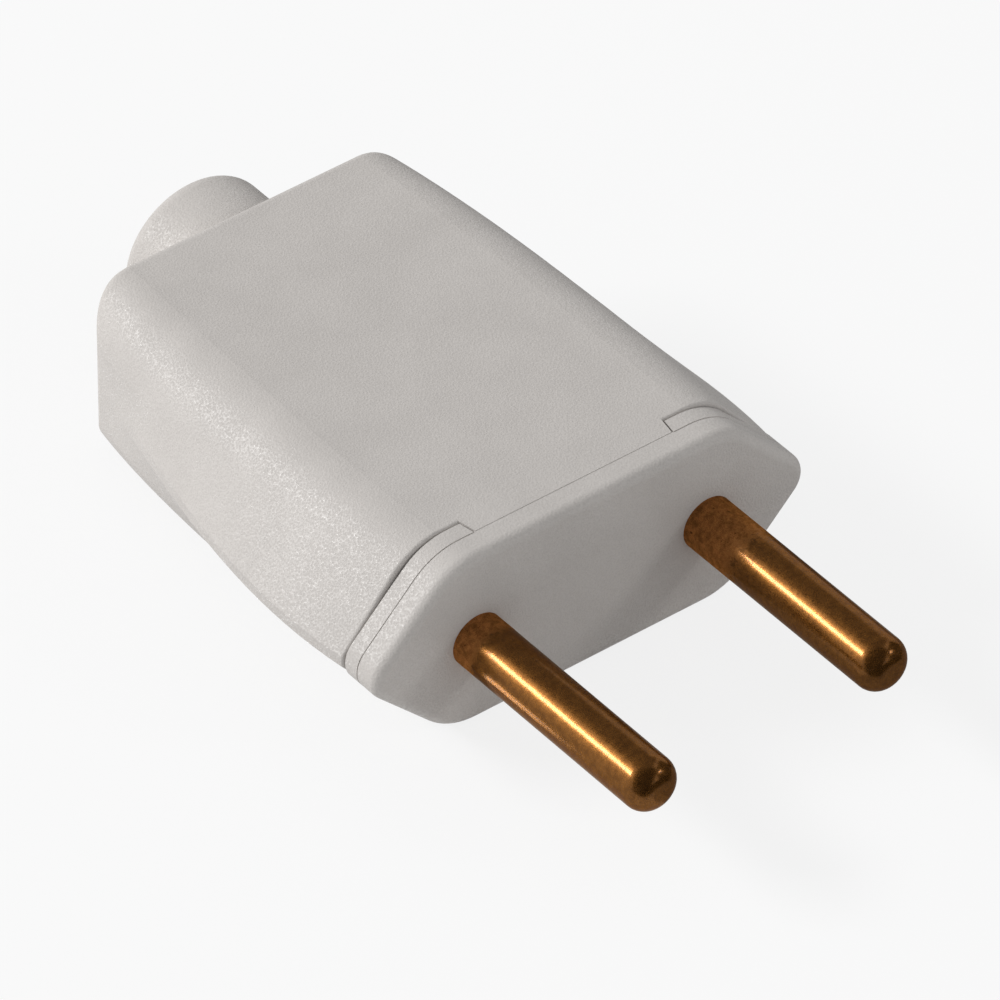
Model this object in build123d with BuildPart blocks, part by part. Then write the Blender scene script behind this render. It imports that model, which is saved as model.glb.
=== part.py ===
from build123d import *
import os

# A flat two-pin mains plug that can be rewired, lying on its broad face.
# X runs across the pins, -Y is the way the pins point and +Z is up.
# The origin is under the middle of the plug, on the surface that it lies on.
# Lengths are in millimetres. A depth is measured back from the front face,
# and a height from the level of the pin axes.

# Contact pins
pin_diameter = 4.0
pin_length = 19.0
pin_spacing = 19.0
pin_tip_radius = 1.4
pin_neck_depth = 0.25

# Outside of the cover
body_thickness = 14.0
cover_end_depth = 37.7
crease_height = 0.8
rear_corner_radius = 3.6
rear_edge_radius = 0.7
neck_length = 6.0
neck_diameter = 11.6
neck_edge_radius = 1.2
inlet_diameter = 7.4

# Evenly spaced stations of the cover: how much narrower its mid-height crease is there than
# at the grip, how far the side leans in from the crease to the flat top, and the radius of
# the shoulder between the two
flange_thickness = 2.1
grip_half_width = 17.86
front_taper = 0.26
front_lean = 5.4
front_radius = 4.8
grip_lean = 5.22
grip_radius = 5.4
waist_taper = 2.06
waist_lean = 2.35
waist_radius = 5.2
rear_taper = 4.86
rear_lean = 0.3
rear_radius = 3.5

# Walls and fits
cover_wall = 1.6
rear_wall = 3.0
fit_clearance = 0.15
thread_clearance = 0.05
trim_allowance = 0.01

# Front seam: the cover reaches forward in a centre tab, and ears of the carrier fill
# the notches beside it
tab_half_width = 8.2
tab_side_draft = 0.12
ear_length = 1.35
lip_radius = 0.22
flange_lean = 7.0
flange_reach = 1.0
flange_radius = 5.0
flange_inset = 0.03
flange_tip_radius = 2.0
flange_edge_radius = 0.75
seam_groove_width = 0.1
seam_groove_depth = 0.05

# Terminal block of the carrier
core_setback = 4.3
core_margin = 2.0
barrel_diameter = 5.4
barrel_start_depth = 3.4
barrel_length = 13.6
wire_hole_diameter = 2.9
wire_hole_depth = 9.0
terminal_setback = 4.4

# Screws of the terminals and of the cord clamp
screw_diameter = 3.0
screw_head_diameter = 4.4
screw_head_height = 1.4
screw_slot_width = 0.6
screw_slot_depth = 0.7
terminal_screw_lift = 0.2
terminal_screw_reach = 2.6
clamp_screw_reach = 6.0

# Snap lugs that hold the cover on the carrier
lug_width = 7.0
lug_height = 0.65
lug_depth = 7.5
lug_length = 2.4

# Cord clamp on the tail of the carrier
tail_half_width = 9.4
tail_thickness = 1.6
tail_margin = 2.0
tail_clearance = 2.7
clamp_width = 6.0
clamp_thickness = 2.8
clamp_screw_spacing = 13.6
clamp_end_radius = 2.6
post_diameter = 5.0
post_top = 1.9
cord_diameter = 6.4
grip_rib_width = 1.0
grip_rib_pitch = 2.4
grip_rib_length = 7.0
grip_rib_bite = 0.4

# Places worked out from the sizes above
body_length = cover_end_depth + neck_length
face_y = (pin_length - body_length) / 2
half_height = body_thickness / 2
front_crease = grip_half_width - front_taper
waist_crease = grip_half_width - waist_taper
rear_crease = grip_half_width - rear_taper
front_shoulder = front_crease - front_lean
flange_apex = front_crease + flange_reach
flange_shoulder = flange_apex - flange_lean
station_step = (cover_end_depth - flange_thickness) / 3
grip_depth = flange_thickness + station_step
waist_depth = flange_thickness + 2 * station_step
notch_depth = flange_thickness + ear_length
cavity_end_depth = cover_end_depth - rear_wall
core_inset = cover_wall + fit_clearance
core_half_height = half_height - core_inset
core_half_width = front_crease - core_setback
pin_neck_diameter = pin_diameter - 2 * pin_neck_depth
barrel_end_depth = barrel_start_depth + barrel_length
terminal_depth = barrel_end_depth - terminal_setback
core_end_depth = barrel_end_depth + core_margin
tail_end_depth = cavity_end_depth - tail_clearance
clamp_depth = tail_end_depth - tail_margin - clamp_width / 2
tab_rear_half_width = tab_half_width + tab_side_draft
tail_floor = tail_thickness - core_half_height
rib_top = grip_rib_bite - cord_diameter / 2
terminal_head_seat = barrel_diameter / 2 + terminal_screw_lift
clamp_head_seat = post_top + clamp_thickness - screw_head_height - fit_clearance
wide = 4 * front_crease
level_tolerance = 0.001
sides = {"left": -1, "right": 1}
stations = [
    (flange_thickness, front_shoulder, front_crease, front_radius),
    (grip_depth, grip_half_width - grip_lean, grip_half_width, grip_radius),
    (waist_depth, waist_crease - waist_lean, waist_crease, waist_radius),
    (cover_end_depth, rear_crease - rear_lean, rear_crease, rear_radius),
]
cavity_stations = stations[:-1] + [(cavity_end_depth, *stations[-1][1:])]
pin_steps = [
    (-pin_length, 0, pin_diameter),
    (0, barrel_start_depth, pin_neck_diameter),
    (barrel_start_depth, barrel_end_depth, barrel_diameter),
]


def cross_plane(depth):
    """Plane across the plug at a depth, facing the rear, with its own Y up."""
    return Plane(origin=(0, face_y + depth, half_height), x_dir=(-1, 0, 0), z_dir=(0, 1, 0))


def level_plane(height):
    """Level plane at a height, with its own Y as the depth."""
    return Plane(origin=(0, face_y, half_height + height), x_dir=(1, 0, 0), z_dir=(0, 0, 1))


def lengthwise_plane(offset):
    """Upright plane along the plug, with the depth as its X and the height as its Y."""
    return Plane(origin=(offset, face_y, half_height), x_dir=(0, 1, 0), z_dir=(1, 0, 0))


def side_line(shoulder, side, side_height, inset):
    """Outward direction of a sloped side, and its distance from the axis less an inset."""
    slope = Vector(half_height - side_height, side - shoulder).normalized()
    return slope, slope.X * shoulder + slope.Y * half_height - inset


def mirrored_polygon(quarter):
    """Polygon drawn from the corners of its upper right quarter."""
    right = quarter + [(x, -z) for x, z in reversed(quarter) if z > 0]
    left = [(-x, z) for x, z in reversed(right)]
    Polygon(*right, *left)


def round_shoulders(radius):
    """Round the corners at the flat top and bottom of the section being drawn."""
    rows = vertices().group_by(Axis.Y)
    fillet(rows[0] + rows[-1], radius)


def landed_section(shoulder, crease, inset=0.0, side_limit=None):
    """Section whose sloped sides end in a narrow upright land at mid-height."""
    slope, reach = side_line(shoulder, crease, crease_height / 2, inset)
    top = half_height - inset
    limit = crease - inset if side_limit is None else side_limit
    top_corner = ((reach - slope.Y * top) / slope.X, top)
    side_corner = (limit, (reach - slope.X * limit) / slope.Y)
    mirrored_polygon([top_corner, side_corner])


def flange_section(inset):
    """Section of the flange, whose sloped sides meet in a rounded tip at mid-height."""
    slope, reach = side_line(flange_shoulder, flange_apex, 0, inset)
    top = half_height - inset
    mirrored_polygon([((reach - slope.Y * top) / slope.X, top), (reach / slope.X, 0)])
    tips = vertices().sort_by(Axis.X)
    fillet([tips[0], tips[-1]], flange_tip_radius)
    round_shoulders(flange_radius)


def tab_plan(gap):
    """Plan of the centre tab of the cover, with a gap at each side."""
    front = tab_half_width - tab_side_draft + gap
    rear = tab_rear_half_width + gap
    Polygon(
        (-front, flange_thickness),
        (front, flange_thickness),
        (rear, notch_depth),
        (-rear, notch_depth),
    )


def slotted_screw(name, across, depth, seat, reach):
    """Make and write a screw whose slotted cheese head stands on its seat height."""
    with BuildPart() as screw:
        with BuildSketch(level_plane(seat)):
            with Locations((across, depth)):
                Circle(screw_head_diameter / 2)
        extrude(amount=screw_head_height)
        with BuildSketch(level_plane(seat)):
            with Locations((across, depth)):
                Circle(screw_diameter / 2)
        extrude(amount=-reach)
        with BuildSketch(level_plane(seat + screw_head_height)):
            with Locations((across, depth)):
                Rectangle(screw_head_diameter, screw_slot_width)
        extrude(amount=-screw_slot_depth, mode=Mode.SUBTRACT)
    screw.part.label = name
    export_step(screw.part, f"parts/{name}.step")


os.makedirs("parts", exist_ok=True)

# Cover: one moulded sleeve with a cord neck, a cavity and a notched front edge
with BuildPart() as cover:
    for depth, shoulder, crease, radius in stations:
        with BuildSketch(cross_plane(depth)):
            landed_section(shoulder, crease, -trim_allowance)
            round_shoulders(radius)
    loft()
    with BuildSketch(level_plane(-half_height)) as plan:
        Polygon(
            (-wide, 0),
            (wide, 0),
            (waist_crease + fit_clearance, waist_depth),
            (rear_crease, cover_end_depth),
            (-rear_crease, cover_end_depth),
            (-waist_crease - fit_clearance, waist_depth),
        )
        fillet(plan.vertices().group_by(Axis.Y)[-1], rear_corner_radius)
    extrude(amount=body_thickness, mode=Mode.INTERSECT)
    rear_edges = cover.edges().filter_by(
        lambda e: e.center().Y > face_y + cover_end_depth - rear_corner_radius
        and abs(abs(e.center().Z - half_height) - half_height) < level_tolerance
    )
    fillet(rear_edges, rear_edge_radius)
    with BuildSketch(cross_plane(cover_end_depth)):
        Circle(neck_diameter / 2)
    extrude(amount=neck_length)
    fillet(cover.edges().sort_by(Axis.Y)[-1], neck_edge_radius)
    with BuildSketch(level_plane(-half_height)):
        with Locations((0, (flange_thickness + notch_depth) / 2)):
            Rectangle(wide, ear_length)
        with BuildSketch(mode=Mode.SUBTRACT):
            tab_plan(0)
    extrude(amount=body_thickness, mode=Mode.SUBTRACT)
    notch_y = face_y + notch_depth
    notch_edges = cover.edges().filter_by_position(
        Axis.Y, notch_y - level_tolerance, notch_y + level_tolerance
    )
    lip_edges = notch_edges.filter_by(
        lambda e: abs(e.center().X) > tab_rear_half_width + level_tolerance
    )
    fillet(lip_edges, lip_radius)
    for depth, shoulder, crease, radius in cavity_stations:
        with BuildSketch(cross_plane(depth)):
            landed_section(shoulder, crease, cover_wall)
            round_shoulders(radius - cover_wall)
    loft(mode=Mode.SUBTRACT)
    with BuildSketch(cross_plane(cavity_end_depth)):
        Circle(inlet_diameter / 2)
    extrude(amount=rear_wall + neck_length, mode=Mode.SUBTRACT)
    with BuildSketch(level_plane(0)):
        with Locations((0, lug_depth + lug_length / 2)):
            Rectangle(lug_width + 2 * fit_clearance, lug_length + 2 * fit_clearance)
    extrude(amount=core_half_height + lug_height + fit_clearance, both=True, mode=Mode.SUBTRACT)
cover.part.label = "cover"
export_step(cover.part, "parts/cover.step")

# Carrier: one moulding with the front flange, its ears, the terminal block and the tail
with BuildPart() as pin_carrier:
    with BuildSketch(cross_plane(0)):
        flange_section(flange_inset)
    extrude(amount=notch_depth - fit_clearance)
    fillet(pin_carrier.faces().sort_by(Axis.Y)[0].edges(), flange_edge_radius)
    with BuildSketch(level_plane(-half_height)):
        tab_plan(fit_clearance)
    extrude(amount=body_thickness, mode=Mode.SUBTRACT)
    with BuildSketch(cross_plane(flange_thickness - seam_groove_width)):
        flange_section(flange_inset)
        with BuildSketch(mode=Mode.SUBTRACT):
            flange_section(flange_inset + seam_groove_depth)
            Rectangle(2 * tab_half_width, body_thickness)
    extrude(amount=seam_groove_width, mode=Mode.SUBTRACT)
    with BuildSketch(cross_plane(flange_thickness)):
        landed_section(front_shoulder, front_crease, core_inset, core_half_width)
        round_shoulders(front_radius - core_inset)
    extrude(amount=core_end_depth - flange_thickness)
    with BuildSketch(level_plane(-core_half_height)):
        with Locations((0, core_end_depth)):
            Rectangle(
                2 * tail_half_width,
                tail_end_depth - core_end_depth,
                align=(Align.CENTER, Align.MIN),
            )
    extrude(amount=tail_thickness)
    with BuildSketch(level_plane(-core_half_height)):
        with Locations((0, clamp_depth)):
            with GridLocations(clamp_screw_spacing, 0, 2, 1):
                Circle(post_diameter / 2)
    extrude(amount=core_half_height + post_top)
    with BuildSketch(level_plane(tail_floor)):
        with Locations((0, clamp_depth)):
            with GridLocations(0, grip_rib_pitch, 1, 3):
                Rectangle(grip_rib_length, grip_rib_width)
    extrude(amount=rib_top - tail_floor)
    with BuildSketch(lengthwise_plane(-lug_width / 2)):
        Polygon(
            (lug_depth, core_half_height),
            (lug_depth + lug_length, core_half_height),
            (lug_depth, core_half_height + lug_height),
        )
    lug = extrude(amount=lug_width)
    mirror(lug, about=level_plane(0))
    for start, diameter in [(0, pin_neck_diameter), (barrel_start_depth, barrel_diameter)]:
        with BuildSketch(cross_plane(start)):
            with GridLocations(pin_spacing, 0, 2, 1):
                Circle(diameter / 2 + thread_clearance)
        extrude(amount=core_end_depth - start, mode=Mode.SUBTRACT)
    with BuildSketch(level_plane(0)):
        with Locations((0, terminal_depth)):
            with GridLocations(pin_spacing, 0, 2, 1):
                Circle(screw_head_diameter / 2 + fit_clearance)
    extrude(amount=core_half_height, mode=Mode.SUBTRACT)
    with BuildSketch(level_plane(post_top)):
        with Locations((0, clamp_depth)):
            with GridLocations(clamp_screw_spacing, 0, 2, 1):
                Circle(screw_diameter / 2 + thread_clearance)
    extrude(amount=-clamp_screw_reach, mode=Mode.SUBTRACT)
pin_carrier.part.label = "pin_carrier"
export_step(pin_carrier.part, "parts/pin_carrier.step")

# Pins: turned brass, with a neck that the flange is moulded round and a thicker barrel
# behind it that takes the wire
for name, side in sides.items():
    with BuildPart() as pin:
        for start, end, diameter in pin_steps:
            with BuildSketch(cross_plane(start)):
                with Locations((-side * pin_spacing / 2, 0)):
                    Circle(diameter / 2)
            extrude(amount=end - start)
        fillet(pin.edges().sort_by(Axis.Y)[0], pin_tip_radius)
        with BuildSketch(cross_plane(barrel_end_depth)):
            with Locations((-side * pin_spacing / 2, 0)):
                Circle(wire_hole_diameter / 2)
        extrude(amount=-wire_hole_depth, mode=Mode.SUBTRACT)
        with BuildSketch(level_plane(0)):
            with Locations((side * pin_spacing / 2, terminal_depth)):
                Circle(screw_diameter / 2 + thread_clearance)
        extrude(amount=barrel_diameter, mode=Mode.SUBTRACT)
    pin.part.label = f"pin_{name}"
    export_step(pin.part, f"parts/pin_{name}.step")

# Cord clamp: a moulded bridge with an arch over the cord
with BuildPart() as cord_clamp:
    with BuildSketch(level_plane(post_top)):
        with Locations((0, clamp_depth)):
            RectangleRounded(clamp_screw_spacing + clamp_width, clamp_width, clamp_end_radius)
    extrude(amount=clamp_thickness)
    with BuildSketch(cross_plane(clamp_depth)):
        Circle(cord_diameter / 2)
    extrude(amount=clamp_width, both=True, mode=Mode.SUBTRACT)
    with BuildSketch(level_plane(clamp_head_seat)):
        with Locations((0, clamp_depth)):
            with GridLocations(clamp_screw_spacing, 0, 2, 1):
                Circle(screw_head_diameter / 2 + fit_clearance)
    extrude(amount=clamp_thickness, mode=Mode.SUBTRACT)
    with BuildSketch(level_plane(post_top)):
        with Locations((0, clamp_depth)):
            with GridLocations(clamp_screw_spacing, 0, 2, 1):
                Circle(screw_diameter / 2 + fit_clearance)
    extrude(amount=clamp_thickness, mode=Mode.SUBTRACT)
cord_clamp.part.label = "cord_clamp"
export_step(cord_clamp.part, "parts/cord_clamp.step")

# Screws: one over the wire hole of each pin, and one through each end of the cord clamp
for name, side in sides.items():
    slotted_screw(
        f"terminal_screw_{name}",
        side * pin_spacing / 2,
        terminal_depth,
        terminal_head_seat,
        terminal_screw_reach,
    )
    slotted_screw(
        f"cord_clamp_screw_{name}",
        side * clamp_screw_spacing / 2,
        clamp_depth,
        clamp_head_seat,
        clamp_screw_reach,
    )
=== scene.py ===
import logging
import math
from dataclasses import dataclass
from enum import Enum

import bpy
from mathutils import Matrix, Vector


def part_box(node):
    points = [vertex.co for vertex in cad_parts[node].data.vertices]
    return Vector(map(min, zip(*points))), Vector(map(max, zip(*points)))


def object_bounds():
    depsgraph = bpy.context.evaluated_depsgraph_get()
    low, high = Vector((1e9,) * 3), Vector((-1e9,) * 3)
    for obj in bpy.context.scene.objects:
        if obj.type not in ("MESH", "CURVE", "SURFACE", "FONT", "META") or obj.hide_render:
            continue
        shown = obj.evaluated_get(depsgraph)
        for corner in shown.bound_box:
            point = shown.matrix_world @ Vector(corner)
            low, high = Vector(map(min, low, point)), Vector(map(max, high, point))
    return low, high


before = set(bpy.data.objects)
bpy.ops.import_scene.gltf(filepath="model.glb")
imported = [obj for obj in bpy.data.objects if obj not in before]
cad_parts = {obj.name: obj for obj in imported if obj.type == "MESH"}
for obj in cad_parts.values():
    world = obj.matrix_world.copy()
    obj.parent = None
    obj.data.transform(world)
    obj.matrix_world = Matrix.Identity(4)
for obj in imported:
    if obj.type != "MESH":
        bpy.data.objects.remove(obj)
cad_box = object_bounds()

log = logging.getLogger("two_pin_plug")

Colour = tuple[float, float, float]
Direction = tuple[float, float, float]
Place = tuple[float, float, float]
Span = tuple[float, float]

MILLIMETRE = 0.001
NODE_SPACING = 200
NONE_TO_ALL: Span = (0.0, 1.0)


class PlugPart(str, Enum):
    """CAD nodes of the plug."""

    COVER = "cover"
    PIN_CARRIER = "pin_carrier"
    PIN_LEFT = "pin_left"
    PIN_RIGHT = "pin_right"
    CORD_CLAMP = "cord_clamp"
    TERMINAL_SCREW_LEFT = "terminal_screw_left"
    TERMINAL_SCREW_RIGHT = "terminal_screw_right"
    CORD_CLAMP_SCREW_LEFT = "cord_clamp_screw_left"
    CORD_CLAMP_SCREW_RIGHT = "cord_clamp_screw_right"


class RayKind(str, Enum):
    """Light Path outputs for the rays that see the white background."""

    CAMERA = "Is Camera Ray"
    GLOSSY = "Is Glossy Ray"
    TRANSMISSION = "Is Transmission Ray"


class NodeSketch:
    """A shader node tree that is filled in from left to right."""

    def __init__(self, tree: bpy.types.NodeTree) -> None:
        """Start on an empty tree.

        Args:
            tree: The tree of a material, a world or a node group.
        """
        self.tree = tree
        self.tree.nodes.clear()
        self.column = 0

    def add(self, kind: str, label: str, **settings: object) -> bpy.types.Node:
        """Add one node.

        Args:
            kind: Blender's type name of the node.
            label: Plain words that say what the node is for.
            **settings: Properties to set on the node.

        Returns:
            The new node.
        """
        node = self.tree.nodes.new(kind)
        node.label = label
        node.name = label
        node.location = (self.column * NODE_SPACING, 0)
        self.column += 1
        for name, value in settings.items():
            setattr(node, name, value)
        return node

    def link(self, source: bpy.types.NodeSocket, target: bpy.types.NodeSocket) -> None:
        """Join an output to an input."""
        self.tree.links.new(source, target)

    def math(
        self,
        operation: str,
        label: str,
        first: bpy.types.NodeSocket | float,
        second: bpy.types.NodeSocket | float,
        clamp: bool = False,
    ) -> bpy.types.NodeSocket:
        """Add a Math node.

        Args:
            operation: Blender's name of the operation.
            label: Plain words that say what it works out.
            first: First value, a socket or a number.
            second: Second value, a socket or a number.
            clamp: Whether the result stays between 0 and 1.

        Returns:
            The node's output.
        """
        node = self.add("ShaderNodeMath", label, operation=operation, use_clamp=clamp)
        for socket, value in zip(node.inputs, (first, second)):
            if isinstance(value, bpy.types.NodeSocket):
                self.link(value, socket)
            else:
                socket.default_value = value
        return node.outputs[0]

    def remap(
        self,
        label: str,
        value: bpy.types.NodeSocket,
        source: Span,
        target: Span,
        smooth: bool = False,
    ) -> bpy.types.NodeSocket:
        """Add a Map Range node that clamps to its target range.

        Args:
            label: Plain words that say what it works out.
            value: The value to map.
            source: Range that the value comes in.
            target: Range that goes out.
            smooth: Whether the ends of the range are eased.

        Returns:
            The mapped value.
        """
        kind = "SMOOTHSTEP" if smooth else "LINEAR"
        node = self.add("ShaderNodeMapRange", label, interpolation_type=kind, clamp=True)
        self.link(value, node.inputs["Value"])
        node.inputs["From Min"].default_value = source[0]
        node.inputs["From Max"].default_value = source[1]
        node.inputs["To Min"].default_value = target[0]
        node.inputs["To Max"].default_value = target[1]
        return node.outputs["Result"]

    def noise(
        self,
        label: str,
        vector: bpy.types.NodeSocket,
        scale: bpy.types.NodeSocket,
        detail: float,
        roughness: float = 0.5,
    ) -> bpy.types.NodeSocket:
        """Add a Noise Texture.

        Args:
            label: Plain words that say what it stands for.
            vector: Coordinates in metres.
            scale: Number of its features in a metre.
            detail: Number of finer layers.
            roughness: Weight of the finer layers.

        Returns:
            The noise value, about 0.5 on average.
        """
        node = self.add("ShaderNodeTexNoise", label)
        self.link(vector, node.inputs["Vector"])
        self.link(scale, node.inputs["Scale"])
        node.inputs["Detail"].default_value = detail
        node.inputs["Roughness"].default_value = roughness
        return node.outputs["Fac"]

    def blend(
        self,
        label: str,
        factor: bpy.types.NodeSocket,
        first: bpy.types.NodeSocket | Colour,
        second: bpy.types.NodeSocket | Colour,
    ) -> bpy.types.NodeSocket:
        """Add a Mix node between two colours.

        Args:
            label: Plain words that say what it mixes.
            factor: Share of the second colour.
            first: Colour at factor 0, a socket or a value.
            second: Colour at factor 1, a socket or a value.

        Returns:
            The mixed colour.
        """
        node = self.add("ShaderNodeMix", label, data_type="RGBA")
        self.link(factor, node.inputs["Factor"])
        sockets = [s for s in node.inputs if s.type == "RGBA"]
        for socket, value in zip(sockets, (first, second)):
            if isinstance(value, bpy.types.NodeSocket):
                self.link(value, socket)
            else:
                socket.default_value = (*value, 1.0)
        return next(s for s in node.outputs if s.type == "RGBA")

    def mix_shaders(
        self,
        label: str,
        share: bpy.types.NodeSocket,
        first: bpy.types.NodeSocket,
        second: bpy.types.NodeSocket,
    ) -> bpy.types.NodeSocket:
        """Add a Mix Shader node.

        Args:
            label: Plain words that say what it mixes.
            share: Share of the second shader.
            first: Shader at share 0.
            second: Shader at share 1.

        Returns:
            The mixed shader.
        """
        node = self.add("ShaderNodeMixShader", label)
        for source, socket in zip((share, first, second), node.inputs):
            self.link(source, socket)
        return node.outputs["Shader"]

    def finish(self, kind: str, shader: bpy.types.NodeSocket) -> None:
        """Add the tree's output node.

        Args:
            kind: Blender's type name of the output node.
            shader: The shader that the surface shows.
        """
        output = self.add(kind, "output")
        self.link(shader, output.inputs["Surface"])


def new_group(
    name: str, inputs: dict[str, float], outputs: tuple[str, ...]
) -> tuple[NodeSketch, bpy.types.Node, bpy.types.Node]:
    """Start a shader node group that reads a vector and numbers and puts out values.

    Args:
        name: The group's name.
        inputs: Numbers that it takes, with their usual values.
        outputs: Values that it puts out.

    Returns:
        The sketch of its tree, its input node and its output node.
    """
    tree = bpy.data.node_groups.new(name, "ShaderNodeTree")
    tree.interface.new_socket("Vector", in_out="INPUT", socket_type="NodeSocketVector")
    for label, value in inputs.items():
        socket = tree.interface.new_socket(label, in_out="INPUT", socket_type="NodeSocketFloat")
        socket.default_value = value
    for label in outputs:
        tree.interface.new_socket(label, in_out="OUTPUT", socket_type="NodeSocketFloat")
    sketch = NodeSketch(tree)
    group_in = sketch.add("NodeGroupInput", "group input")
    group_out = sketch.add("NodeGroupOutput", "group output")
    return sketch, group_in, group_out


class MouldGrain:
    """Node group: the fine spark-eroded grain of a moulding tool, with a faint mottle."""

    NAME = "mould_grain"
    INPUTS = {"Craters per metre": 5000.0, "Grit per metre": 11000.0, "Mottle per metre": 220.0}
    OUTPUTS = ("Height", "Mottle")
    CRATER_SMOOTHNESS = 0.7
    CRATER_SHARE = 0.75
    GRIT_SHARE = 0.6
    GRIT_DETAIL = 2.0
    MOTTLE_DETAIL = 4.0

    @classmethod
    def group(cls) -> bpy.types.NodeTree:
        """Build the group on first use.

        Returns:
            The group.
        """
        found = bpy.data.node_groups.get(cls.NAME)
        if found is not None:
            return found
        sketch, group_in, group_out = new_group(cls.NAME, cls.INPUTS, cls.OUTPUTS)
        vector = group_in.outputs["Vector"]
        craters = sketch.add("ShaderNodeTexVoronoi", "craters", feature="SMOOTH_F1")
        sketch.link(vector, craters.inputs["Vector"])
        sketch.link(group_in.outputs["Craters per metre"], craters.inputs["Scale"])
        craters.inputs["Smoothness"].default_value = cls.CRATER_SMOOTHNESS
        grit = sketch.noise("grit", vector, group_in.outputs["Grit per metre"], cls.GRIT_DETAIL)
        hollow = craters.outputs["Distance"]
        crater_part = sketch.math("MULTIPLY", "crater share", hollow, cls.CRATER_SHARE)
        grit_part = sketch.math("MULTIPLY", "grit share", grit, cls.GRIT_SHARE)
        height = sketch.math("ADD", "grain height", crater_part, grit_part)
        sketch.link(height, group_out.inputs["Height"])
        mottle = sketch.noise("mottle", vector, group_in.outputs["Mottle per metre"], cls.MOTTLE_DETAIL)
        sketch.link(mottle, group_out.inputs["Mottle"])
        return sketch.tree


class MetalWear:
    """Node group: drawing lines along a metal part, blotches of tarnish, small pits and grain."""

    NAME = "metal_wear"
    INPUTS = {
        "Lines per metre": 9000.0,
        "Blotches per metre": 900.0,
        "Pits per metre": 2600.0,
        "Grains per metre": 9000.0,
    }
    OUTPUTS = ("Lines", "Blotch", "Pit", "Grain")
    LINE_STRETCH = (1.0, 0.025, 1.0)
    LINE_DETAIL = 3.0
    BLOTCH_DETAIL = 5.0
    BLOTCH_ROUGHNESS = 0.62
    SPOT_DETAIL = 2.0
    SPOT_ROUGHNESS = 0.6
    PIT_RANGE: Span = (0.66, 0.74)

    @classmethod
    def group(cls) -> bpy.types.NodeTree:
        """Build the group on first use.

        Returns:
            The group.
        """
        found = bpy.data.node_groups.get(cls.NAME)
        if found is not None:
            return found
        sketch, group_in, group_out = new_group(cls.NAME, cls.INPUTS, cls.OUTPUTS)
        scales = group_in.outputs
        vector = scales["Vector"]
        stretch = sketch.add("ShaderNodeVectorMath", "stretch along the part", operation="MULTIPLY")
        sketch.link(vector, stretch.inputs[0])
        stretch.inputs[1].default_value = cls.LINE_STRETCH
        lines = sketch.noise("lines", stretch.outputs[0], scales["Lines per metre"], cls.LINE_DETAIL)
        sketch.link(lines, group_out.inputs["Lines"])
        blotch = sketch.noise(
            "blotch", vector, scales["Blotches per metre"], cls.BLOTCH_DETAIL, cls.BLOTCH_ROUGHNESS
        )
        sketch.link(blotch, group_out.inputs["Blotch"])
        pit_noise = sketch.noise(
            "pit noise", vector, scales["Pits per metre"], cls.SPOT_DETAIL, cls.SPOT_ROUGHNESS
        )
        pit = sketch.remap("pit", pit_noise, cls.PIT_RANGE, NONE_TO_ALL, smooth=True)
        sketch.link(pit, group_out.inputs["Pit"])
        grain = sketch.noise(
            "grain", vector, scales["Grains per metre"], cls.SPOT_DETAIL, cls.SPOT_ROUGHNESS
        )
        sketch.link(grain, group_out.inputs["Grain"])
        return sketch.tree


def bare_material(name: str) -> tuple[bpy.types.Material, NodeSketch]:
    """Start a material with no nodes.

    Args:
        name: The material's name.

    Returns:
        The material and its sketch.
    """
    material = bpy.data.materials.new(name)
    material.use_nodes = True
    return material, NodeSketch(material.node_tree)


def new_material(name: str) -> tuple[bpy.types.Material, NodeSketch, bpy.types.Node, bpy.types.NodeSocket]:
    """Start a material with a Principled BSDF on its output.

    Args:
        name: The material's name.

    Returns:
        The material, its sketch, the BSDF and Object coordinates.
    """
    material, sketch = bare_material(name)
    coordinates = sketch.add("ShaderNodeTexCoord", "object coordinates")
    surface = sketch.add("ShaderNodeBsdfPrincipled", "surface")
    sketch.finish("ShaderNodeOutputMaterial", surface.outputs["BSDF"])
    return material, sketch, surface, coordinates.outputs["Object"]


def place_group(
    sketch: NodeSketch,
    tree: bpy.types.NodeTree,
    vector: bpy.types.NodeSocket,
    values: dict[str, float],
) -> bpy.types.Node:
    """Put a node group into a material.

    Args:
        sketch: The material's sketch.
        tree: The group.
        vector: Coordinates for the group.
        values: The numbers that this material gives it.

    Returns:
        The group's node.
    """
    node = sketch.add("ShaderNodeGroup", tree.name, node_tree=tree)
    sketch.link(vector, node.inputs["Vector"])
    for label, value in values.items():
        node.inputs[label].default_value = value
    return node


def bump(
    sketch: NodeSketch,
    surface: bpy.types.Node,
    height: bpy.types.NodeSocket,
    depth: float,
    strength: float,
) -> None:
    """Give a surface relief.

    Args:
        sketch: The material's sketch.
        surface: Its Principled BSDF.
        height: Height of the relief, as a share of its depth.
        depth: Depth in metres that a height of 1 stands for.
        strength: Strength of the relief.
    """
    node = sketch.add("ShaderNodeBump", "relief")
    node.inputs["Distance"].default_value = depth
    node.inputs["Strength"].default_value = strength
    sketch.link(height, node.inputs["Height"])
    sketch.link(node.outputs["Normal"], surface.inputs["Normal"])


def scaled(value: float, shares: Span) -> Span:
    """Give the range from one share of a value to another."""
    return value * shares[0], value * shares[1]


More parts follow.
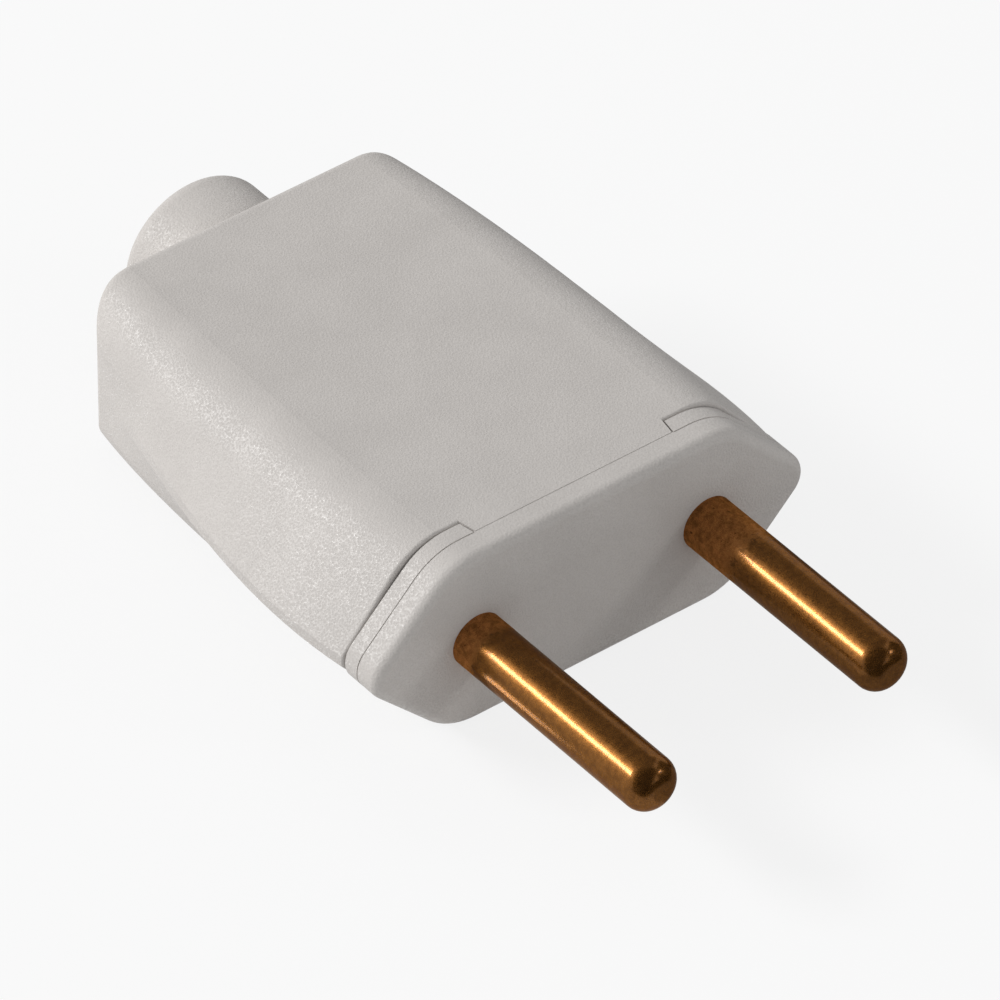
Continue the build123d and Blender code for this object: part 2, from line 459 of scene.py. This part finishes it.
@dataclass(frozen=True)
class MouldedPlastic:
    """Matte moulded plastic with a spark-eroded grain.

    Attributes:
        name: The material's name.
        light: Colour of its lighter patches and of the crests of the grain, where the painted shade of the
            hollows lifts.
        dark: Colour of its darker patches and of the painted shade in the grain's hollows.
        crater: Width of one crater of the grain, in metres.
        grit_per_crater: How many bits of finer grit lie across one crater.
        depth: Depth of the grain, in metres.
        relief_strength: Strength of the grain's relief.
        smooth: Roughness on the crests of the grain.
        rough: Roughness in its hollows.
        specular: Strength of its mirror reflection.
        patch_range: Range of the mottle over which the patches lighten.
        patch_share: How far a patch goes towards the light colour.
        hollow_shade_range: Range of the grain's height over which the painted shade of the hollows lifts,
            so the crests lighten.
        hollow_shade_share: How far a crest goes towards the light colour, out of the painted shade of the
            hollows.
        gloss_range: Range of the grain's height over which it turns smooth.
    """

    name: str
    light: Colour
    dark: Colour
    crater: float = 0.15 * MILLIMETRE
    grit_per_crater: float = 2.2
    depth: float = 0.032 * MILLIMETRE
    relief_strength: float = 1.0
    smooth: float = 0.23
    rough: float = 0.74
    specular: float = 0.32
    patch_range: Span = (0.35, 0.65)
    patch_share: float = 0.4
    hollow_shade_range: Span = (0.40, 0.80)
    hollow_shade_share: float = 0.6
    gloss_range: Span = (0.50, 0.90)

    def material(self) -> bpy.types.Material:
        """Build the material.

        Returns:
            The new material.
        """
        material, sketch, surface, vector = new_material(self.name)
        scales = {
            "Craters per metre": 1.0 / self.crater,
            "Grit per metre": self.grit_per_crater / self.crater,
        }
        grain = place_group(sketch, MouldGrain.group(), vector, scales)
        height = grain.outputs["Height"]
        patch = sketch.remap("patches", grain.outputs["Mottle"], self.patch_range, (0.0, self.patch_share))
        # Painted shade: the grain's hollows are coloured darker and its crests lighter, as shade would
        # fall in the pits; the patches above are the plastic's own random tone.
        hollow_shade = sketch.remap("crests", height, self.hollow_shade_range, (0.0, self.hollow_shade_share))
        light_share = sketch.math("ADD", "patches and crests", patch, hollow_shade)
        tone = sketch.blend("tone", light_share, self.dark, self.light)
        sketch.link(tone, surface.inputs["Base Color"])
        gloss = sketch.remap("gloss", height, self.gloss_range, (self.rough, self.smooth))
        sketch.link(gloss, surface.inputs["Roughness"])
        surface.inputs["Specular IOR Level"].default_value = self.specular
        bump(sketch, surface, height, self.depth, self.relief_strength)
        return material


@dataclass(frozen=True)
class AgedBrass:
    """Turned brass that has darkened, dull where the socket's contacts never rub it.

    Attributes:
        name: The material's name.
        face_y: Place of the flange's front face, in metres.
        dull_length: Length of the dull collar next to the flange, in metres.
        dull_fade: Length over which the collar gives way to rubbed metal, in metres.
        clean: Colour of the rubbed metal.
        dark: Colour of the darkened metal.
        oxide: Colour of the dull collar.
        edge: Tint of its reflection at a grazing angle.
        smooth: Roughness of the rubbed metal.
        rough: Roughness of the dull collar.
        bloom: Roughness that fine spots of tarnish add.
        film: Share of the metal under a clear film of old lacquer.
        film_roughness: Roughness of that film.
        blotches_per_metre: Scale of the tarnish.
        grains_per_metre: Scale of its fine spots.
        ragged_range: Range of the tarnish that makes the collar's end ragged.
        patch_range: Range of the tarnish over which the metal darkens.
        mottle_range: Range of the tarnish over which the collar turns to oxide.
        least_oxide: Share of oxide in the darkest places of the collar.
        bloom_range: Range of the spots over which they dull the metal.
        line_range: Range of the drawing lines that changes the polish.
        line_shares: Share of the roughness at either end of that range.
        relief: Depth of the lines and pits, in metres.
        relief_strength: Strength of that relief.
    """

    name: str
    face_y: float
    dull_length: float
    dull_fade: float
    clean: Colour = (0.205, 0.083, 0.017)
    dark: Colour = (0.146, 0.057, 0.011)
    oxide: Colour = (0.520, 0.225, 0.072)
    edge: Colour = (0.55, 0.44, 0.35)
    smooth: float = 0.16
    rough: float = 0.52
    bloom: float = 0.42
    film: float = 0.22
    film_roughness: float = 0.16
    blotches_per_metre: float = 2400.0
    grains_per_metre: float = 22000.0
    ragged_range: Span = (0.3, 0.7)
    patch_range: Span = (0.34, 0.66)
    mottle_range: Span = (0.36, 0.62)
    least_oxide: float = 0.35
    bloom_range: Span = (0.44, 0.60)
    line_range: Span = (0.3, 0.7)
    line_shares: Span = (0.8, 1.3)
    relief: float = 0.0018 * MILLIMETRE
    relief_strength: float = 0.8

    def material(self) -> bpy.types.Material:
        """Build the material.

        Returns:
            The new material.
        """
        material, sketch, surface, vector = new_material(self.name)
        scales = {
            "Blotches per metre": self.blotches_per_metre,
            "Grains per metre": self.grains_per_metre,
        }
        wear = place_group(sketch, MetalWear.group(), vector, scales)
        dull = self.collar(sketch, vector, wear)
        sketch.link(self.tone(sketch, wear, dull), surface.inputs["Base Color"])
        surface.inputs["Metallic"].default_value = 1.0
        surface.inputs["Specular Tint"].default_value = (*self.edge, 1.0)
        film = sketch.remap("film", dull, NONE_TO_ALL, (self.film, 0.0))
        sketch.link(film, surface.inputs["Coat Weight"])
        surface.inputs["Coat Roughness"].default_value = self.film_roughness
        sketch.link(self.gloss(sketch, wear, dull), surface.inputs["Roughness"])
        lines = sketch.math("SUBTRACT", "lines and pits", wear.outputs["Lines"], wear.outputs["Pit"])
        height = sketch.math("ADD", "lines, pits and grain", lines, wear.outputs["Grain"])
        bump(sketch, surface, height, self.relief, self.relief_strength)
        return material

    def collar(
        self, sketch: NodeSketch, vector: bpy.types.NodeSocket, wear: bpy.types.Node
    ) -> bpy.types.NodeSocket:
        """Mark the dull collar next to the flange.

        Args:
            sketch: The material's sketch.
            vector: Object coordinates.
            wear: The node of the metal wear group.

        Returns:
            A value of 1 on the collar and 0 on the rubbed metal.
        """
        half_fade = self.dull_fade / 2
        split = sketch.add("ShaderNodeSeparateXYZ", "place on the pin")
        sketch.link(vector, split.inputs[0])
        reach = sketch.math("SUBTRACT", "distance from the face", self.face_y, split.outputs["Y"])
        ragged = sketch.remap(
            "ragged edge", wear.outputs["Blotch"], self.ragged_range, (-half_fade, half_fade)
        )
        edge = sketch.math("ADD", "reach with a ragged edge", reach, ragged)
        dull_end = (self.dull_length - half_fade, self.dull_length + half_fade)
        return sketch.remap("dull collar", edge, dull_end, (1.0, 0.0), smooth=True)

    def tone(
        self, sketch: NodeSketch, wear: bpy.types.Node, dull: bpy.types.NodeSocket
    ) -> bpy.types.NodeSocket:
        """Mix the metal's colours.

        Args:
            sketch: The material's sketch.
            wear: The node of the metal wear group.
            dull: Mask of the dull collar.

        Returns:
            The colour.
        """
        blotch = wear.outputs["Blotch"]
        patch = sketch.remap("patches", blotch, self.patch_range, NONE_TO_ALL, smooth=True)
        metal = sketch.blend("darkened metal", patch, self.clean, self.dark)
        mottle = sketch.remap("mottle", blotch, self.mottle_range, (self.least_oxide, 1.0))
        oxide = sketch.blend("oxide", mottle, self.dark, self.oxide)
        colour = sketch.blend("collar", dull, metal, oxide)
        return sketch.blend("pits", wear.outputs["Pit"], colour, self.dark)

    def gloss(
        self, sketch: NodeSketch, wear: bpy.types.Node, dull: bpy.types.NodeSocket
    ) -> bpy.types.NodeSocket:
        """Work out the metal's roughness.

        Args:
            sketch: The material's sketch.
            wear: The node of the metal wear group.
            dull: Mask of the dull collar.

        Returns:
            The roughness.
        """
        polish = scaled(self.smooth, self.line_shares)
        lined = sketch.remap("polish", wear.outputs["Lines"], self.line_range, polish)
        bloom = sketch.remap("bloom", wear.outputs["Grain"], self.bloom_range, (0.0, self.bloom))
        bloomed = sketch.math("ADD", "polish and bloom", lined, bloom)
        fade = sketch.math("MULTIPLY", "dull share", dull, self.rough - self.smooth)
        return sketch.math("ADD", "gloss", bloomed, fade, clamp=True)


@dataclass(frozen=True)
class PlatedSteel:
    """Zinc-plated steel of the screws.

    Attributes:
        name: The material's name.
        bright: Colour of fresh plating.
        dull: Colour of weathered plating.
        roughness: Its usual roughness.
        blotches_per_metre: Scale of the weathering.
        patch_range: Range of the weathering over which the plating dulls.
        gloss_range: Range of the weathering that changes the roughness.
        gloss_shares: Share of the roughness at either end of that range.
        relief: Depth of the drawing lines, in metres.
        relief_strength: Strength of that relief.
    """

    name: str
    bright: Colour
    dull: Colour
    roughness: float
    blotches_per_metre: float = 1500.0
    patch_range: Span = (0.35, 0.68)
    gloss_range: Span = (0.3, 0.7)
    gloss_shares: Span = (0.8, 1.3)
    relief: float = 0.002 * MILLIMETRE
    relief_strength: float = 0.5

    def material(self) -> bpy.types.Material:
        """Build the material.

        Returns:
            The new material.
        """
        material, sketch, surface, vector = new_material(self.name)
        scales = {"Blotches per metre": self.blotches_per_metre}
        wear = place_group(sketch, MetalWear.group(), vector, scales)
        blotch = wear.outputs["Blotch"]
        patch = sketch.remap("patches", blotch, self.patch_range, NONE_TO_ALL)
        tone = sketch.blend("plating", patch, self.bright, self.dull)
        sketch.link(tone, surface.inputs["Base Color"])
        surface.inputs["Metallic"].default_value = 1.0
        roughness = scaled(self.roughness, self.gloss_shares)
        gloss = sketch.remap("gloss", blotch, self.gloss_range, roughness)
        sketch.link(gloss, surface.inputs["Roughness"])
        bump(sketch, surface, wear.outputs["Lines"], self.relief, self.relief_strength)
        return material


def dress(part: PlugPart, material: bpy.types.Material) -> None:
    """Give a CAD node its finish.

    Args:
        part: The node.
        material: The finish's material.
    """
    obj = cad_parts[part.value]
    obj.data.materials.clear()
    obj.data.materials.append(material)
    log.info("%s wears %s", part.value, material.name)


@dataclass(frozen=True)
class CoverShell:
    """The moulded cover with its cord neck.

    Attributes:
        finish: Its plastic.
    """

    finish: MouldedPlastic = MouldedPlastic(
        name="cover_grain",
        light=(0.580, 0.548, 0.520),
        dark=(0.510, 0.481, 0.456),
    )

    def build(self) -> None:
        """Dress the cover."""
        dress(PlugPart.COVER, self.finish.material())


@dataclass(frozen=True)
class PinCarrier:
    """The moulding that carries the pins, with its flange and the bridge over the cord.

    Attributes:
        finish: Its plastic, a shade darker than the cover's.
    """

    finish: MouldedPlastic = MouldedPlastic(
        name="carrier_grain",
        light=(0.578, 0.546, 0.518),
        dark=(0.508, 0.479, 0.454),
    )

    def build(self) -> None:
        """Dress the carrier and the bridge of the cord clamp."""
        material = self.finish.material()
        dress(PlugPart.PIN_CARRIER, material)
        dress(PlugPart.CORD_CLAMP, material)


@dataclass(frozen=True)
class ContactPins:
    """The two brass pins, with dull collars of different lengths.

    Attributes:
        left_dull: Length of the dull collar on the left pin, in metres.
        left_fade: Length over which that collar ends, in metres.
        right_dull: Length of the dull collar on the right pin, in metres.
        right_fade: Length over which that collar ends, in metres.
    """

    left_dull: float = 2.0 * MILLIMETRE
    left_fade: float = 0.8 * MILLIMETRE
    right_dull: float = 4.9 * MILLIMETRE
    right_fade: float = 1.8 * MILLIMETRE

    def build(self) -> None:
        """Dress both pins."""
        face_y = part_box(PlugPart.PIN_CARRIER.value)[0].y
        left = AgedBrass("pin_patina_left", face_y, self.left_dull, self.left_fade)
        right = AgedBrass("pin_patina_right", face_y, self.right_dull, self.right_fade)
        dress(PlugPart.PIN_LEFT, left.material())
        dress(PlugPart.PIN_RIGHT, right.material())


@dataclass(frozen=True)
class Screws:
    """The slotted screws inside the plug.

    Attributes:
        finish: Their plating.
    """

    finish: PlatedSteel = PlatedSteel(
        name="screw_plating",
        bright=(0.66, 0.65, 0.62),
        dull=(0.50, 0.49, 0.46),
        roughness=0.36,
    )

    def build(self) -> None:
        """Dress all four screws."""
        material = self.finish.material()
        dress(PlugPart.TERMINAL_SCREW_LEFT, material)
        dress(PlugPart.TERMINAL_SCREW_RIGHT, material)
        dress(PlugPart.CORD_CLAMP_SCREW_LEFT, material)
        dress(PlugPart.CORD_CLAMP_SCREW_RIGHT, material)


def seen_as_background(sketch: NodeSketch) -> bpy.types.NodeSocket:
    """Work out whether a ray is one that sees the white background.

    Args:
        sketch: The sketch of the floor's or the world's tree.

    Returns:
        A value of 1 for such rays and 0 for the others.
    """
    path = sketch.add("ShaderNodeLightPath", "kind of ray")
    glossy = path.outputs[RayKind.GLOSSY.value]
    seen = sketch.math("MAXIMUM", "camera or glossy", path.outputs[RayKind.CAMERA.value], glossy)
    through = path.outputs[RayKind.TRANSMISSION.value]
    return sketch.math("MAXIMUM", "or transmission", seen, through)


@dataclass(frozen=True)
class StudioFloor:
    """Pale gloss table top that looks nearly white and keeps a soft shadow.

    Attributes:
        radius: Radius of the table top, in metres.
        edges: Number of straight edges round it.
        colour: Its colour under the lamps.
        glow_share: Share of the white background in what the camera and reflections see.
        gloss_share: Share of its mirror gloss in what the plug reflects.
        gloss_roughness: Roughness of that gloss.
        gloss_fade: Places along the plug between which the gloss comes in, in metres.
    """

    radius: float = 2.0
    edges: int = 96
    colour: Colour = (0.77, 0.77, 0.77)
    glow_share: float = 0.82
    gloss_share: float = 0.25
    gloss_roughness: float = 0.06
    gloss_fade: Span = (-18.0 * MILLIMETRE, -9.0 * MILLIMETRE)

    def build(self) -> None:
        """Add the floor and its material."""
        bpy.ops.object.select_all(action="DESELECT")
        bpy.ops.mesh.primitive_circle_add(
            vertices=self.edges, radius=self.radius, fill_type="NGON", location=(0.0, 0.0, 0.0)
        )
        floor = bpy.context.active_object
        floor.name = "studio_floor"
        floor.data.materials.append(self.material())
        log.info("studio_floor laid")

    def material(self) -> bpy.types.Material:
        """Build the floor's material.

        Returns:
            The new material.
        """
        material, sketch = bare_material("studio_floor")
        glow_share = sketch.math("MULTIPLY", "share of glow", seen_as_background(sketch), self.glow_share)
        paper = sketch.add("ShaderNodeBsdfDiffuse", "paper")
        paper.inputs["Color"].default_value = (*self.colour, 1.0)
        glow = sketch.add("ShaderNodeEmission", "white background")
        pale = sketch.mix_shaders(
            "paper or background", glow_share, paper.outputs["BSDF"], glow.outputs["Emission"]
        )
        gloss = sketch.add("ShaderNodeBsdfGlossy", "table gloss")
        gloss.inputs["Roughness"].default_value = self.gloss_roughness
        table = sketch.mix_shaders("table top", self.polish(sketch), pale, gloss.outputs["BSDF"])
        sketch.finish("ShaderNodeOutputMaterial", table)
        return material

    def polish(self, sketch: NodeSketch) -> bpy.types.NodeSocket:
        """Work out the share of gloss, which only reflections see.

        Args:
            sketch: The sketch of the floor's material.

        Returns:
            The share.
        """
        path = sketch.add("ShaderNodeLightPath", "ray from the plug")
        coordinates = sketch.add("ShaderNodeTexCoord", "object coordinates")
        split = sketch.add("ShaderNodeSeparateXYZ", "place on the table")
        sketch.link(coordinates.outputs["Object"], split.inputs[0])
        along = split.outputs["Y"]
        polish = sketch.remap("polish", along, self.gloss_fade, (0.0, self.gloss_share), smooth=True)
        return sketch.math("MULTIPLY", "share of gloss", path.outputs[RayKind.GLOSSY.value], polish)


@dataclass(frozen=True)
class DarkFlag:
    """A dark card that only reflections see, as a studio hangs one to shape metal; the card laid on the
    table by the pins is painted shadow, dark where the body's shadow falls on the table.

    Attributes:
        name: The card's name.
        place: Middle of the card, in metres.
        facing: Direction that it faces.
        side: Length of its sides, in metres.
        shade: Brightness of the card.
    """

    name: str
    place: Place
    facing: Direction
    side: float
    shade: float

    def build(self) -> None:
        """Hang the card."""
        bpy.ops.object.select_all(action="DESELECT")
        bpy.ops.mesh.primitive_plane_add(
            size=self.side,
            location=self.place,
            rotation=Vector(self.facing).to_track_quat("Z", "Y").to_euler(),
        )
        card = bpy.context.active_object
        card.name = self.name
        card.visible_camera = False
        card.visible_diffuse = False
        card.visible_transmission = False
        card.visible_shadow = False
        card.data.materials.append(self.material())
        log.info("%s hung", self.name)

    def material(self) -> bpy.types.Material:
        """Build the card's material.

        Returns:
            The new material.
        """
        material, sketch = bare_material(self.name)
        cloth = sketch.add("ShaderNodeEmission", "card cloth")
        cloth.inputs["Strength"].default_value = self.shade
        sketch.finish("ShaderNodeOutputMaterial", cloth.outputs["Emission"])
        return material


@dataclass(frozen=True)
class StudioWorld:
    """Even room light, white where the camera or a reflection sees it.

    Attributes:
        room: Colour of the room light.
        room_strength: Its strength.
        background: Colour of the background.
    """

    room: Colour = (0.98, 0.99, 1.0)
    room_strength: float = 0.48
    background: Colour = (1.0, 1.0, 1.0)

    def build(self) -> None:
        """Make the world."""
        world = bpy.data.worlds.new("studio_world")
        world.use_nodes = True
        bpy.context.scene.world = world
        sketch = NodeSketch(world.node_tree)
        seen = seen_as_background(sketch)
        room = sketch.add("ShaderNodeBackground", "room light")
        room.inputs["Color"].default_value = (*self.room, 1.0)
        room.inputs["Strength"].default_value = self.room_strength
        white = sketch.add("ShaderNodeBackground", "white background")
        white.inputs["Color"].default_value = (*self.background, 1.0)
        light = sketch.mix_shaders(
            "room or background", seen, room.outputs["Background"], white.outputs["Background"]
        )
        sketch.finish("ShaderNodeOutputWorld", light)
        log.info("studio_world lit")


@dataclass(frozen=True)
class SoftBox:
    """A softbox lamp that points at the plug.

    Attributes:
        name: The lamp's name.
        toward: Direction from the plug to the lamp.
        distance: Distance of the lamp, in metres.
        width: Width of the lamp, in metres.
        height: Height of the lamp, in metres.
        power: Its power in watts.
        mirrored: Whether reflections show the lamp.
    """

    name: str
    toward: Direction
    distance: float
    width: float
    height: float
    power: float
    mirrored: bool = True

    def build(self, target: Vector) -> None:
        """Hang the lamp.

        Args:
            target: The point that it shines on.
        """
        away = Vector(self.toward).normalized()
        lamp = bpy.data.lights.new(self.name, "AREA")
        lamp.shape = "RECTANGLE"
        lamp.size = self.width
        lamp.size_y = self.height
        lamp.energy = self.power
        obj = bpy.data.objects.new(self.name, lamp)
        bpy.context.scene.collection.objects.link(obj)
        obj.location = target + away * self.distance
        obj.rotation_mode = "QUATERNION"
        obj.rotation_quaternion = away.to_track_quat("Z", "Y")
        obj.visible_camera = False
        obj.visible_glossy = self.mirrored
        log.info("%s hung", self.name)


@dataclass(frozen=True)
class StudioLight:
    """The lamps round the plug, and the cards that shape what its metal reflects.

    Attributes:
        lamps: The lamps.
        flags: The cards.
    """

    lamps: tuple[SoftBox, ...] = (
        SoftBox(
            name="key_softbox",
            toward=(-0.605, 0.604, 0.518),
            distance=1.2,
            width=0.55,
            height=0.18,
            power=10.9,
        ),
        SoftBox(
            name="fill_softbox",
            toward=(0.55, -0.65, 0.42),
            distance=1.2,
            width=0.22,
            height=0.22,
            power=1.2,
        ),
        SoftBox(
            name="front_bounce",
            toward=(0.0, -1.0, 0.0),
            distance=1.2,
            width=1.0,
            height=1.0,
            power=1.2,
            mirrored=False,
        ),
    )
    flags: tuple[DarkFlag, ...] = (
        DarkFlag(
            name="flag_overhead",
            place=(0.24, 0.48, 1.33),
            facing=(-0.25, -0.50, -0.83),
            side=1.85,
            shade=0.30,
        ),
        DarkFlag(
            name="flag_camera_side",
            place=(-0.66, -0.84, 0.90),
            facing=(0.47, 0.60, -0.64),
            side=3.0,
            shade=0.12,
        ),
        DarkFlag(
            name="flag_front_right",
            place=(1.20, -0.75, 0.30),
            facing=(-0.83, 0.52, -0.20),
            side=2.0,
            shade=0.12,
        ),
        DarkFlag(
            name="flag_table_front",
            place=(0.05, -0.29, 0.0015),
            facing=(0.0, 0.0, 1.0),
            side=0.5,
            shade=0.08,
        ),
        # Painted shadow: this card lies on the table where the body's shadow falls, so that reflections in
        # the pins see that place dark instead of the table's white glow.
        DarkFlag(
            name="painted_shadow_card_right",
            place=(0.144, -0.163, 0.001),
            facing=(0.0, 0.0, 1.0),
            side=0.3,
            shade=0.45,
        ),
        DarkFlag(
            name="flag_table_back",
            place=(0.166, 0.138, 0.001),
            facing=(0.0, 0.0, 1.0),
            side=0.3,
            shade=0.15,
        ),
    )

    def build(self) -> None:
        """Hang the lamps and the cards."""
        middle = (cad_box[0] + cad_box[1]) / 2
        for lamp in self.lamps:
            lamp.build(middle)
        for flag in self.flags:
            flag.build()


@dataclass(frozen=True)
class PhotoCamera:
    """Camera at the photograph's viewing angle.

    Attributes:
        azimuth: Turn about the upright axis, in degrees.
        elevation: Height above the horizon, in degrees.
        roll: Turn of the image about the line of sight, in degrees.
        distance: Distance from the anchor point, in metres.
        focal_px: Focal length in pixels of the image.
        image_px: Width and height of the image in pixels.
        sensor_mm: Width of the sensor.
        clip: Nearest and furthest distance that it sees, in metres.
        anchor_px: Pixel that shows the anchor point.
        anchor_lead: How far the anchor point is in front of the flange, in metres.
    """

    azimuth: float = -38.214
    elevation: float = 40.216
    roll: float = 0.316
    distance: float = 0.8
    focal_px: float = 12430.0
    image_px: float = 1000.0
    sensor_mm: float = 36.0
    clip: Span = (0.05, 10.0)
    anchor_px: Span = (689.5, 660.1)
    anchor_lead: float = 10.0 * MILLIMETRE

    def axes(self) -> tuple[Vector, Vector, Vector]:
        """Work out which way the camera is turned.

        Returns:
            The directions to its right, upwards and backwards.
        """
        turn = math.radians(self.azimuth)
        rise = math.radians(self.elevation)
        tilt = math.radians(self.roll)
        level = math.cos(rise)
        back = Vector((math.sin(turn) * level, -math.cos(turn) * level, math.sin(rise)))
        level_right = Vector((math.cos(turn), math.sin(turn), 0.0))
        right = level_right * math.cos(tilt) + back.cross(level_right) * math.sin(tilt)
        return right, back.cross(right), back

    def build(self) -> None:
        """Place the camera so that the anchor point shows at its pixel."""
        right, up, back = self.axes()
        pin_low, pin_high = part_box(PlugPart.PIN_LEFT.value)
        face_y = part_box(PlugPart.PIN_CARRIER.value)[0].y
        anchor = Vector((0.0, face_y - self.anchor_lead, (pin_low.z + pin_high.z) / 2))
        across = (self.anchor_px[0] - self.image_px / 2) / self.focal_px
        down = (self.anchor_px[1] - self.image_px / 2) / self.focal_px
        sight = (right * across - up * down - back).normalized()
        data = bpy.data.cameras.new("photo_camera")
        data.sensor_width = self.sensor_mm
        data.lens = self.focal_px * self.sensor_mm / self.image_px
        data.clip_start, data.clip_end = self.clip
        obj = bpy.data.objects.new("photo_camera", data)
        bpy.context.scene.collection.objects.link(obj)
        place = Matrix((right, up, back)).transposed().to_4x4()
        place.translation = anchor - sight * self.distance
        obj.matrix_world = place
        bpy.context.scene.camera = obj
        log.info("photo_camera placed")


def main() -> None:
    """Dress the plug and set up the floor, the light and the camera."""
    logging.basicConfig(level=logging.INFO, format="%(message)s")
    CoverShell().build()
    PinCarrier().build()
    ContactPins().build()
    Screws().build()
    StudioFloor().build()
    StudioWorld().build()
    StudioLight().build()
    PhotoCamera().build()
    bpy.context.scene.view_settings.view_transform = "Standard"


if __name__ == "__main__":
    main()
